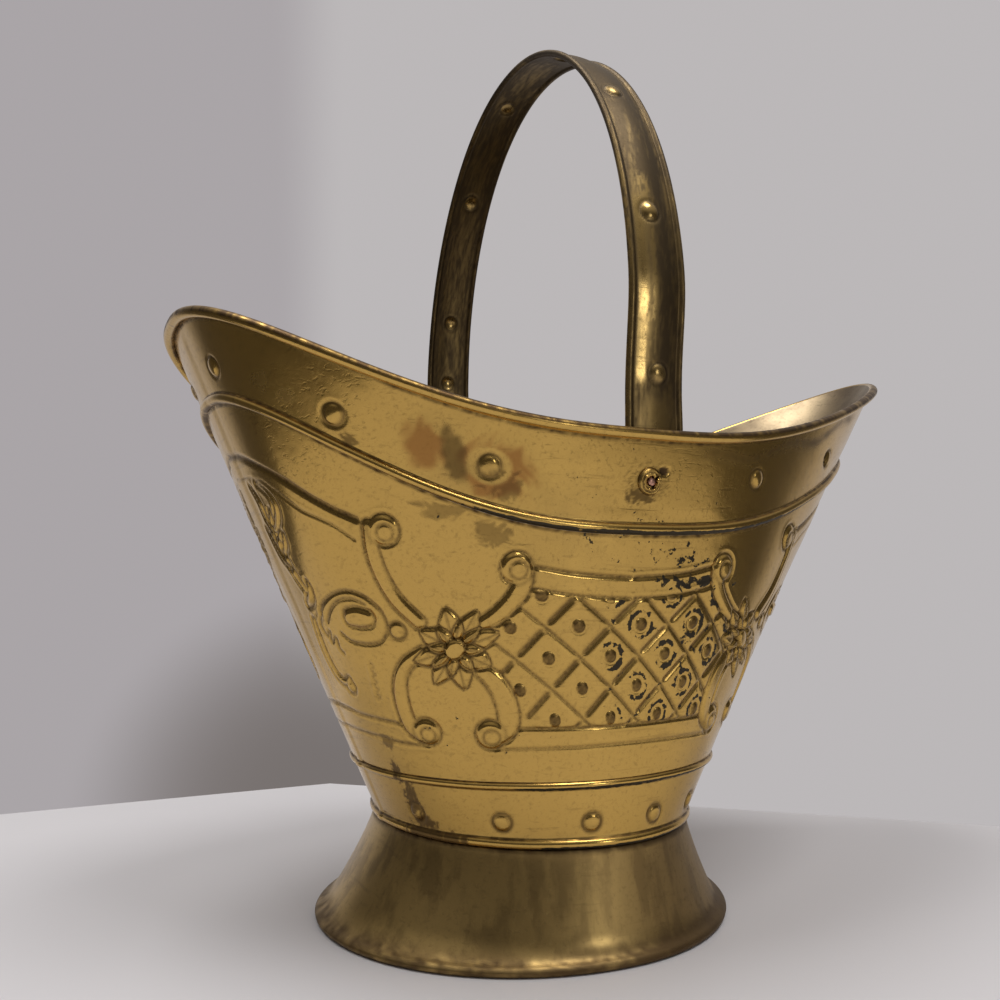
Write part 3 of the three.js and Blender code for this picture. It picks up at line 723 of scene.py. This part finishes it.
def aged_metal(name, clean, dull, stain, clean_roughness, dull_roughness, spread, size, seed,
               scratch=0.4, marked=True, dents=0.05, grain=0.25, streaks=0.0):
    """Bare metal, dulled in patches, stained where the mesh's tarnish, flaking and bloom say so; the tarnish
    layer also holds painted shade, and on the strap clean streaks that are partly a painted highlight.
    """
    material = bpy.data.materials.new(name)
    material.use_nodes = True
    tree = material.node_tree
    shader = tree.nodes["Principled BSDF"]
    shader.inputs["Metallic"].default_value = 1
    dulled = use_group(tree, patches, Size=size, Spread=spread, Edge=0.3, Seed=seed)
    freckled = use_group(tree, patches, Size=size * 0.12, Spread=spread * 0.35, Edge=0.06, Seed=seed + 3)
    speckled = use_group(tree, patches, Size=0.0012, Spread=0.5, Edge=0.25, Seed=seed + 7)
    lines = use_group(tree, scratches, Spacing=0.003, Amount=scratch)
    colour = mixed(tree, dulled, clean, dull)
    for mask, strength in ((freckled, 0.45), (speckled, grain), (lines, 0.5)):
        colour = mixed(tree, combined(tree, "MULTIPLY", mask, strength), colour, stain)
    roughness = combined(tree, "MULTIPLY", dulled, dull_roughness - clean_roughness)
    roughness = combined(tree, "ADD", roughness, clean_roughness)
    roughness = combined(tree, "ADD", roughness, combined(tree, "MULTIPLY", speckled, 0.10))
    place = add_node(tree, "ShaderNodeTexCoord")
    if streaks:
        lay = add_node(tree, "ShaderNodeMapping", Scale=(1, 1, 0.25))
        link(tree, (place, "Object"), (lay, "Vector"))
        runs = add_node(tree, "ShaderNodeTexNoise", Scale=62, Detail=5, Roughness=0.62)
        link(tree, (lay, "Vector"), (runs, "Vector"))
        run_mask = stepped(tree, (runs, "Fac"), 0.44, 0.60)
        colour = mixed(tree, combined(tree, "MULTIPLY", run_mask, streaks), colour, stain)
    if marked:
        bloom, held, crusted = ((add_node(tree, "ShaderNodeAttribute", attribute_name=label), "Fac")
                                for label in ("bloom", "tarnish_shade_and_highlight", "flaking"))
        colour = mixed(tree, bloom, colour, (0.36, 0.18, 0.05))
        colour = mixed(tree, held, colour, stain)
        flakes = use_group(tree, patches, Size=0.0026, Spread=crusted, Edge=0.03, Seed=seed + 11)
        colour = mixed(tree, flakes, colour, (0.055, 0.045, 0.03))
        darkened = combined(tree, "MAXIMUM", held, flakes)
        roughness = combined(tree, "ADD", roughness, combined(tree, "MULTIPLY", darkened, 0.30))
    link(tree, colour, (shader, "Base Color"))
    link(tree, roughness, (shader, "Roughness"))
    hammer = add_node(tree, "ShaderNodeTexNoise", Scale=90, Detail=2)
    link(tree, (place, "Object"), (hammer, "Vector"))
    height = combined(tree, "SUBTRACT", (hammer, "Fac"), combined(tree, "MULTIPLY", lines, 0.4))
    bump = add_node(tree, "ShaderNodeBump", Strength=dents, Distance=0.001)
    link(tree, height, (bump, "Height"))
    link(tree, (bump, "Normal"), (shader, "Normal"))
    return material


outer_brass = aged_metal(
    "polished_brass", clean=(0.59, 0.375, 0.10), dull=(0.46, 0.295, 0.085), stain=(0.07, 0.04, 0.02),
    clean_roughness=0.17, dull_roughness=0.27, spread=0.45, size=0.05, seed=2.3, dents=0.09)
inner_brass = aged_metal(
    "inner_brass", clean=(0.30, 0.23, 0.14), dull=(0.13, 0.095, 0.065), stain=(0.05, 0.035, 0.025),
    clean_roughness=0.36, dull_roughness=0.5, spread=0.7, size=0.04, seed=5.0, scratch=0.35, marked=False)


def hand_worked(points):
    """Low swells and hollows left in the sheet by the hammer."""
    drift = points + 9 * np.sin(points[:, [1, 2, 0]] * 0.045)
    return (0.16 * np.sin(drift @ (0.075, 0.03, 0.055) + 1.0)
            + 0.07 * np.sin(drift @ (-0.11, 0.07, 0.13) + 2.4)
            + 0.025 * np.sin(drift @ (0.21, -0.12, 0.24) + 0.7))


lap_step = 0.45                             # how far the near half stands over the far one at the back
rivet_around = around_at(math.pi / 2) + rivet_ahead
rivet_height = (rivet_low[2] + rivet_high[2]) / 2 / mm


def thicken(piece, thickness):
    """Gives a sheet its thickness, inwards from its outer face."""
    layer = piece.modifiers.new("sheet", "SOLIDIFY")
    layer.thickness = thickness * mm
    layer.offset = -1
    return layer


def pressed_piece(name, sheet, sign, rolled_from=None):
    """Presses a patch and makes it a piece; sign is 1 on the near side and -1 on the far side."""
    mesh = sheet.mesh
    below_rim = smooth((swept(rim_line, sheet.angle) - sheet.height) / 10)
    swell = hand_worked(sheet.points)           # left out where the bail passes close to the wall
    if sign > 0:
        swell = swell + lap_step * smooth((back_end + 6.0 - sheet.around) / 6.0)
    near_bail = smooth((48 - np.abs(sheet.around - rivet_around)) / 15) * smooth((sheet.height - 184) / 6)
    out = sheet.out + sheet.raised + swell * below_rim * (1 - near_bail)
    points = sheet.points + sheet.outward * out[:, None] + sheet.rise * sheet.up[:, None]
    points[:, 1] *= sign
    points[:, 0] += widest_x
    mesh.vertices.foreach_set("co", (points * mm).ravel())
    mesh.update()
    first = mesh.polygons[0]
    if Vector(sheet.outward[first.vertices[0]] * (1, sign, 1)).dot(first.normal) < 0:
        mesh.flip_normals()
    for label, values in (("tarnish_shade_and_highlight", sheet.dirt_and_shade), ("flaking", sheet.flaking), ("bloom", sheet.bloom)):
        mesh.attributes.new(label, "FLOAT", "POINT").data.foreach_set("value", values)
    mesh.shade_smooth()
    for material in (outer_brass, inner_brass, outer_brass):
        mesh.materials.append(material)
    if rolled_from is not None:
        rolled = np.array([sheet.row[face.vertices[0]] >= rolled_from for face in mesh.polygons])
        mesh.polygons.foreach_set("material_index", rolled.astype(np.int32))
    piece = new_object(name, mesh)
    thicken(piece, sheet_thickness).material_offset = 1
    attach(piece, "scuttle_body")
    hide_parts("near_half_shell" if sign > 0 else "far_half_shell")


def spare_hole(sheet):
    """A hole drilled beside the bail's rivet and never used, shown as a shallow dent painted dark for the
    shade inside it; and a painted shadow under the rivet's boss, with a stain round the rivet.
    """
    # The hole is not cut: a shallow dent painted dark stands for the shade inside it.
    far = np.hypot(sheet.around - 9.2, (sheet.height - 204.4) * 1.05)
    sheet.raised[:] -= 0.7 * smooth((2.1 - far) / 0.5)
    sheet.dirt_and_shade[:] = np.maximum(sheet.dirt_and_shade, 0.97 * smooth((2.3 - far) / 0.5))
    # Painted shadow under the rivet's boss; the next patch is a stain round the rivet.
    patch(sheet, sheet.dirt_and_shade, rivet_around - 3.0, rivet_height - 6.0, 6.0, 4.0, 0.75, 3.0)
    patch(sheet, sheet.dirt_and_shade, rivet_around, rivet_height, 7.5, 7.5, 0.35, 2.0)


rim_bosses = ((-146.3, 250.3), (-95.8, 224.5), (-48.6, 204.0), (52.2, 204.8), (102.0, 221.0), (152.0, 246.0))
waist_bosses, waist_boss_height = (-121, -71, -20.5, 29.5, 79.5, 129.5), 57.6
bead_steps, curl_steps, curl_stop = 10, 20, math.radians(-127)
for side, sign, fineness in (("near", 1, 1.0), ("far", -1, 0.62)):
    back_limit = math.pi + (0.035 if sign > 0 else 0.0)
    limits = (back_limit, float(angle_at(-50)), float(angle_at(60)), 0.0)
    # The ornament's three patches, from the back to the lip.
    for number, (part, columns) in enumerate((("back", 180), ("middle", 172), ("lip", 156))):
        start, stop = around_at(limits[number]), around_at(limits[number + 1])
        angles = angle_at(np.linspace(start, stop, int(columns * fineness) + 1))
        under_collar = swept(collar_line, angles) - collar_bead
        rows = wall_rows(band_height + band_bead, under_collar, int(180 * fineness))
        sheet = Sheet(f"{side}_{part}_panel", angles, rows)
        ornament(sheet)
        age(sheet)
        # A brown line just under the collar bead: the bead's painted shadow, partly tarnish in the joint.
        gap = swept(collar_line, sheet.angle) - collar_bead - sheet.height
        brown = 0.8 * smooth((1.8 - gap) / 1.2) * (0.3 + 0.9 * ragged(sheet.points, 7.0))
        sheet.dirt_and_shade[:] = np.maximum(sheet.dirt_and_shade, brown)
        pressed_piece(f"{side}_{part}_panel", sheet, sign)
    # The band from the collar's bead to the rolled rim.
    angles = angle_at(np.linspace(around_at(limits[0]), around_at(limits[3]), int(430 * fineness) + 1))
    collar, rim = swept(collar_line, angles), swept(rim_line, angles)
    rows = bead_rows(collar, collar_bead, bead_steps)
    rows += wall_rows(collar + collar_bead, rim, int(54 * fineness))[1:]
    rolled_from = len(rows) - 1
    rows += curl_rows(rim, rim_curl, curl_stop, curl_steps)[1:]
    sheet = Sheet(f"{side}_rim_band", angles, rows)
    for around, height in rim_bosses:
        dome(sheet, (around, height, 4.2), 1.1, ring=0.4, stain=0.7)
    spare_hole(sheet)
    age(sheet)
    shade_bead(sheet, 0, bead_steps)
    shade_rim(sheet, rolled_from)
    pressed_piece(f"{side}_rim_band", sheet, sign, rolled_from)
    # The band between the two beads at the waist.
    low = band_height - band_bead
    rows = bead_rows(waist_height, waist_bead, bead_steps)
    rows += wall_rows(waist_height + waist_bead, low, int(22 * fineness))[1:]
    rows += bead_rows(band_height, band_bead, bead_steps)[1:]
    sheet = Sheet(f"{side}_waist_band", angles, rows)
    for around in waist_bosses:
        dome(sheet, (around, waist_boss_height, 3.9), 0.9, ring=0.45, stain=0.8)
    age(sheet)
    shade_bead(sheet, 0, bead_steps)
    shade_bead(sheet, sheet.row.max() - bead_steps, bead_steps)
    pressed_piece(f"{side}_waist_band", sheet, sign)


# ---- base plate ----
# A flat dish of the same sheet with a turned-up edge, soldered inside the waist; it holds the coal.

sooty_brass = aged_metal(
    "sooty_brass", clean=(0.24, 0.185, 0.115), dull=(0.10, 0.078, 0.055), stain=(0.045, 0.035, 0.028),
    clean_roughness=0.48, dull_roughness=0.6, spread=0.75, size=0.05, seed=6.5, scratch=0.2, marked=False)


def dress(name, material):
    """Gives a piece kept from the CAD model its look."""
    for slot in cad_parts[name].material_slots:
        slot.material = material


dress("base_plate", sooty_brass)


# ---- foot ----
# A flared oval skirt of unpolished brass sheet under the body, with a ledge that the body rests on
# and an edge rolled outwards over a wire. It has gone olive brown, with pale worn patches.

foot_oval = {"front": 91.0, "back": 105.2, "side": 94.3, "front_fullness": 2.0, "back_fullness": 2.0}
foot_top, foot_ledge, foot_flare = 46.4, 10.0, 1.25
foot_curl, foot_wire_height = 1.5, 2.4

foot_brass = aged_metal(
    "foot_brass", clean=(0.52, 0.355, 0.13), dull=(0.38, 0.26, 0.105), stain=(0.10, 0.062, 0.03),
    clean_roughness=0.30, dull_roughness=0.42, spread=0.45, size=0.05, seed=9.0, scratch=0.35, streaks=0.38)


def foot_point(angle, height, out):
    share = min(max((height - foot_wire_height) / (foot_top - foot_wire_height), 0), 1)
    rise = 1 - (1 - share) ** foot_flare
    oval = {name: foot_oval[name] + (waist[name] - foot_oval[name]) * rise for name in foot_oval}
    x, y = oval_points(oval, angle)
    ahead_x, ahead_y = oval_points(oval, angle + 1e-4)
    along = math.hypot(ahead_x - x, ahead_y - y)
    x, y = x + out * (ahead_y - y) / along, y - out * (ahead_x - x) / along
    return Vector((widest_x + x, y, height)) * mm


def grid_mesh(places, tarnish_shade_and_highlight):
    """A mesh over rows of places, each row joined end to end, with the tarnish at each place, which also
    holds painted shade and a painted highlight.
    """
    bm = bmesh.new()
    layer = bm.verts.layers.float.new("tarnish_shade_and_highlight")
    bmesh.ops.create_grid(bm, x_segments=len(places[0]) - 1, y_segments=len(places) - 1, size=0.5)
    for vert in bm.verts:
        column = round((vert.co.x + 0.5) * (len(places[0]) - 1))
        row = round((vert.co.y + 0.5) * (len(places) - 1))
        vert.co = places[row][column]
        vert[layer] = tarnish_shade_and_highlight[row][column]
    bmesh.ops.remove_doubles(bm, verts=bm.verts, dist=1e-6)
    return bm


def smooth_piece(bm, name, material):
    """An object of one material, smoothly shaded."""
    mesh = mesh_from(bm, name)
    mesh.shade_smooth()
    mesh.materials.append(material)
    return new_object(name, mesh)


# The wall flares into the roll: down from the ledge, out over the wire, and in under it.
roll, roll_start, roll_stop = foot_curl + sheet_thickness, 62, -150
join = Vector((foot_curl + roll * math.cos(math.radians(roll_start)),
               foot_wire_height + roll * math.sin(math.radians(roll_start))))
foot_rows = [(foot_top, -foot_ledge), (foot_top, -foot_ledge / 2), (foot_top, -1.0), (foot_top - 0.25, -0.3)]
foot_rows += [(foot_top - 0.8 - (foot_top - 13.8) * share, 0) for share in np.linspace(0, 1, 27)]
for share in np.linspace(0, 1, 11)[1:-1]:
    bend = Vector((0, 13)) * (1 - share) ** 2 + Vector((0.2, 6.2)) * 2 * share * (1 - share) + join * share**2
    foot_rows.append((bend.y, bend.x))
foot_rows += [(foot_wire_height + roll * math.sin(bend), foot_curl + roll * math.cos(bend))
              for bend in np.radians(np.linspace(roll_start, roll_stop, 19))]
foot_angles = np.linspace(-math.pi, math.pi, 257)
foot_places = [[foot_point(angle, height, out) for angle in foot_angles] for height, out in foot_rows]
foot_marks = []
for (height, _), places in zip(foot_rows, foot_places):
    spots = np.array(places) / mm
    edges = 0.75 * smooth((11 - height) / 7) + 0.8 * smooth((height - 43) / 3)
    # Painted shade over the lip end of the foot, which dims its reflection there.
    lip_end_shade = 0.55 * smooth((spots[:, 0] - widest_x + 25) / 55)
    foot_marks.append(np.clip(edges * (0.45 + 0.9 * ragged(spots, 8.0)) + lip_end_shade, 0, 0.9))
bm = grid_mesh(foot_places, foot_marks)
bmesh.ops.recalc_face_normals(bm, faces=bm.faces)
wall_spot = Vector((widest_x * mm, -0.09, 0.025))
wall_face = min(bm.faces, key=lambda face: (face.calc_center_median() - wall_spot).length)
if wall_face.normal.y > 0:
    bmesh.ops.reverse_faces(bm, faces=bm.faces)
foot = smooth_piece(bm, "foot_skirt_sheet", foot_brass)
thicken(foot, sheet_thickness)
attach(foot, "scuttle_body")
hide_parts("foot_skirt")


# ---- wires in the rolled edges ----
# Plain drawn iron wire, hidden in the rolls but for a glimpse where an edge gapes.

wire_iron = aged_metal(
    "wire_iron", clean=(0.25, 0.24, 0.23), dull=(0.14, 0.11, 0.09), stain=(0.10, 0.05, 0.03),
    clean_roughness=0.45, dull_roughness=0.6, spread=0.5, size=0.02, seed=12.0)
dress("rim_wire", wire_iron)
dress("foot_wire", wire_iron)


# ---- bail ----
# A strap of brass with rolled edges and a raised middle, bent into an arch and riveted inside the rim.
# It was never polished like the body: dark brown, rubbed yellow along its edges.

strap_leg, strap_crown, strap_edge, strap_edge_rise, strap_web = 14.7, 11.6, 1.6, 0.4, 0.547
strap_shift, strap_end, strap_end_width = 3.5, 10.0, 9.0
bail_inset, bail_throat, bail_span, bail_spread = 105.97, 109.2, 113.5, 4.3
arch_start, bail_top, bail_fullness = 275.0, 430.7, 2.03
# Bosses: millimetres along the strap from its far end, and off its middle line.
strap_bosses = ((56.4, 0), (98.4, 0), (136.5, 0), (210.9, 0), (273.2, 0), (335, 0),
                (402.0, -2.5), (472.4, -2.0), (541.6, 1.0))


def easy_bend(height, start, stop):
    return (1 - math.cos(math.pi * min(max((height - start) / (stop - start), 0), 1))) / 2


def bail_line():
    """The strap's middle line up one leg and over to the other, as distance across and height."""
    leg = []
    for height in np.linspace(rivet_height - strap_end, arch_start, 111)[:-1]:
        leg.append((bail_inset + (bail_throat - bail_inset) * easy_bend(height, 207, 224)
                    + bail_spread * easy_bend(height, 233, 290), height))
    for angle in np.linspace(0, math.pi / 2, 241):
        height = arch_start + (bail_top - arch_start) * math.sin(angle) ** (2 / bail_fullness)
        leg.append((bail_span * abs(math.cos(angle)) ** (2 / bail_fullness) * (angle < math.pi / 2 - 1e-6)
                    - bail_spread * (1 - easy_bend(height, 233, 290)), height))
    return leg + [(-across, height) for across, height in reversed(leg[:-1])]


def strap_half_width(height):
    full = strap_leg + (strap_crown - strap_leg) * max((height - rivet_height) / (bail_top - rivet_height), 0)
    share = min((height - rivet_height + strap_end) / strap_end, 1)
    return (strap_end_width + (full - strap_end_width) * math.sqrt(1 - (1 - share) ** 2)
            + 0.7 * easy_bend(height, 235, 300))


def strap_section(half_width, run, height):
    """The strap's outline: its outer face, one rolled edge, its inner face and the other edge."""
    web = half_width - strap_edge - 1.5
    over_rim = easy_bend(height, 228, 245)
    crown = 0.95 + 0.6 * over_rim * (1 - easy_bend(height, 340, 410))
    face = []
    for share in np.linspace(1, -1, 31)[1:-1]:
        across = share * web
        raised = crown * math.cos(share * math.pi / 2) ** 1.2
        for boss, aside in strap_bosses:
            far = math.hypot(across - aside, run - boss)
            if far < 6:
                groove = 0.3 * math.exp(-((far - 4.7) / 0.7) ** 2)
                raised += 1.15 * max(1 - (far / 4.3) ** 2, 0) ** 0.8 - groove
        face.append((across, min(raised, 2.1 + 0.6 * over_rim)))
    edge = [(half_width - strap_edge + strap_edge * math.cos(bend),
             strap_edge_rise + strap_edge * math.sin(bend))
            for bend in np.radians(np.linspace(-160, 160, 15))]
    outer = [(across, strap_edge_rise + strap_web + raised * 0.99) for across, raised in face]
    inner = [(-across, strap_edge_rise - strap_web + 0.9 * raised) for across, raised in face]
    return edge + outer + [(-across, out) for across, out in reversed(edge)] + inner


def strap_tarnish_and_highlight(points, half_width, run):
    """How dark the strap is: browned all over, rubbed bright on bosses, in streaks and on its edges; the main
    streak on the near leg is partly a painted highlight.
    """
    across = np.array([x for x, _ in points])
    outside = np.array([out for _, out in points]) > strap_edge_rise
    spots = np.stack([across * 1.2, np.full(len(points), run * 0.22), np.where(outside, 0.0, 40.0)], axis=1)
    uneven, coarse = ragged(spots, 2.6), ragged(spots + 70, 9.0)
    rubbed = smooth((uneven - 0.28) / 0.25)

    def streak(middle, width, start, stop):
        """A streak along the near leg, between two places along the strap."""
        return ridge(across - middle, width) * smooth((run - start) / 12) * smooth((stop - run) / 8)

    over_top = smooth((run - 310) / 20) * smooth((470 - run) / 30)
    brown = 0.82 + 0.30 * (uneven - 0.5) + 0.25 * (coarse - 0.5) + 0.16 * over_top
    brown += 0.15 * streak(4.0, 4.5, 440, 560)
    # Clean brass in the streak left of the middle: partly wear, partly a painted highlight where the window
    # lamp's reflection falls.
    brown -= 0.90 * streak(-7.6, 2.6, 462, 549) + 0.60 * streak(-2.4, 1.4, 470, 545) * rubbed
    brown -= 0.60 * streak(-3.5, 4.5, 448, 478) * rubbed + 0.60 * streak(8.3, 0.9, 350, 480) * rubbed
    brown -= 0.65 * streak(0, 6.0, 547, 620) * (0.6 + 0.5 * uneven)
    groove = ridge(np.abs(across) - (half_width - 2 * strap_edge - 0.3), 0.9)
    brown = np.maximum(brown, 0.95 * groove)
    edge = smooth((np.abs(across) - half_width + 1.3) / 0.5) * smooth((run - 430) / 40)
    brown -= 0.7 * edge * smooth((uneven - 0.35) / 0.2)
    for boss, aside in strap_bosses:
        far = np.hypot(across - aside, run - boss)
        brown = np.maximum(brown - 0.6 * smooth((4.2 - far) / 1.5), 0.9 * ridge(far - 4.6, 0.7) * outside)
    return np.clip(brown + 0.08 * (1 - outside), 0, 0.95)


line = bail_line()
strap_x = widest_x + rivet_ahead + strap_shift
strap_places, strap_marks = [], []
run = 0
for number, (across, height) in enumerate(line):
    before, after = line[max(number - 1, 0)], line[min(number + 1, len(line) - 1)]
    along = Vector((after[0] - before[0], after[1] - before[1])).normalized()
    run += math.dist(line[number], before)
    half_width = strap_half_width(height)
    section = strap_section(half_width, run, height)
    row = [Vector((strap_x + x, across + along.y * out, height - along.x * out)) * mm for x, out in section]
    strap_places.append(row + row[:1])
    dark = strap_tarnish_and_highlight(section, half_width, run)
    strap_marks.append(list(dark) + [dark[0]])
bm = grid_mesh(strap_places, strap_marks)
bmesh.ops.holes_fill(bm, edges=[edge for edge in bm.edges if edge.is_boundary])
bmesh.ops.recalc_face_normals(bm, faces=bm.faces)
strap_brass = aged_metal(
    "strap_brass", clean=(0.46, 0.31, 0.11), dull=(0.30, 0.20, 0.08), stain=(0.065, 0.045, 0.025),
    clean_roughness=0.20, dull_roughness=0.28, spread=0.4, size=0.02, seed=21.0)
strap = smooth_piece(bm, "bail_strap_sheet", strap_brass)
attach(strap, "bail")
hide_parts("bail_strap")


# ---- rivets and washers ----
# The bail turns on a soft copper rivet. Outside it stands in a boss of the band that its pull has
# torn open; inside it has a hammered dome over a copper burr, and brass spacers clear the wall.

rivet_copper = aged_metal(
    "rivet_copper", clean=(0.55, 0.30, 0.22), dull=(0.34, 0.19, 0.14), stain=(0.07, 0.045, 0.035),
    clean_roughness=0.35, dull_roughness=0.5, spread=0.5, size=0.006, seed=31.0)
rivet_x = widest_x + rivet_ahead
rivet_angle, rivet_level = np.array([angle_at(rivet_around)]), np.array([rivet_height])
rivet_place = wall_points(rivet_angle, rivet_level)[0]
cap_forward, cap_rise, cap_outward = (axis[0] for axis in wall_directions(rivet_angle, rivet_level))
tear = math.radians(36)                     # the tear points to the spare hole
cap_profile = ((0.0, 0.55), (0.12, 1.25), (0.26, 1.75), (0.38, 1.55), (0.46, 1.15), (0.54, 1.05),
               (0.64, 1.30), (0.74, 1.25), (0.82, 0.75), (0.88, 0.55), (0.94, 0.35), (1.0, 0.02))
for side, sign in (("near", 1), ("far", -1)):
    # The rivet: head, shank and inner dome, turned about the bail's axis.
    low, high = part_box(f"{side}_rivet")
    outer_end = float(rivet_place[1]) - 1.3
    inner_end = (high[1] if sign > 0 else -low[1]) / mm
    profile = [(0, outer_end), (0.9, outer_end + 0.05), (1.7, outer_end + 0.3), (2.0, outer_end + 0.8),
               (2.1, outer_end + 1.4), (2.1, inner_end - 1.6), (3.8, inner_end - 1.55),
               (3.7, inner_end - 1.1), (3.0, inner_end - 0.5), (1.8, inner_end - 0.12), (0, inner_end)]
    bm = bmesh.new()
    rim = [bm.verts.new(Vector((rivet_x + radius, y, rivet_height)) * mm) for radius, y in profile]
    edges = [bm.edges.new(pair) for pair in zip(rim, rim[1:])]
    bmesh.ops.spin(bm, geom=rim + edges, cent=Vector((rivet_x, 0, rivet_height)) * mm, axis=(0, 1, 0),
                   angle=2 * math.pi, steps=40, use_merge=True)
    bmesh.ops.remove_doubles(bm, verts=bm.verts, dist=1e-6)
    for vert in bm.verts:
        vert.co.y *= sign
    bmesh.ops.recalc_face_normals(bm, faces=bm.faces)
    rivet = smooth_piece(bm, f"{side}_copper_rivet", rivet_copper)
    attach(rivet, "scuttle_body")
    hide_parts(f"{side}_rivet")

    # The torn boss round it: two rings with a ragged hole, split towards the spare hole.
    places, marks = [], []
    turns = np.linspace(0, 2 * math.pi, 97)
    away = np.abs(np.angle(np.exp(1j * (turns - tear))))
    hole = 2.3 + 0.25 * np.sin(5 * turns + 1) + 0.15 * np.sin(11 * turns) + 2.6 * ridge(away, 0.16)
    lifted = 0.55 * ridge(away - 0.42, 0.22)
    for share, height in cap_profile:
        reach = hole + (5.9 - hole) * share
        rise = height * (1 - 0.25 * ridge(away, 0.3)) + lifted * (1 - share)
        rise += 0.12 * np.sin(3 * turns + 6 * share) * (1 - share)
        forward, upward = reach * np.cos(turns), reach * np.sin(turns) - 0.5 * (1 - share)
        spots = (rivet_place + np.outer(forward, cap_forward) + np.outer(upward, cap_rise)
                 + np.outer(rise + 0.15, cap_outward))
        spots[:, 0] += widest_x
        spots[:, 1] *= sign
        places.append([Vector(spot) * mm for spot in spots])
        dark = 0.85 * smooth((0.12 - share) / 0.12) + 0.5 * ridge(away, 0.12) + 0.25 * ragged(spots, 1.2)
        dark += 0.8 * ridge(share - 0.5, 0.07) + 0.7 * ridge(share - 0.9, 0.08)
        marks.append(np.clip(dark, 0, 0.95))
    bm = grid_mesh(places, marks)
    bmesh.ops.recalc_face_normals(bm, faces=bm.faces)
    if sum(face.normal.y for face in bm.faces) * sign > 0:
        bmesh.ops.reverse_faces(bm, faces=bm.faces)
    cap = smooth_piece(bm, f"{side}_torn_boss", outer_brass)
    thicken(cap, 0.4)
    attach(cap, "scuttle_body")
    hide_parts(f"{side}_rivet")
    dress(f"{side}_burr_washer", rivet_copper)
    dress(f"{side}_spacer_washer", inner_brass)
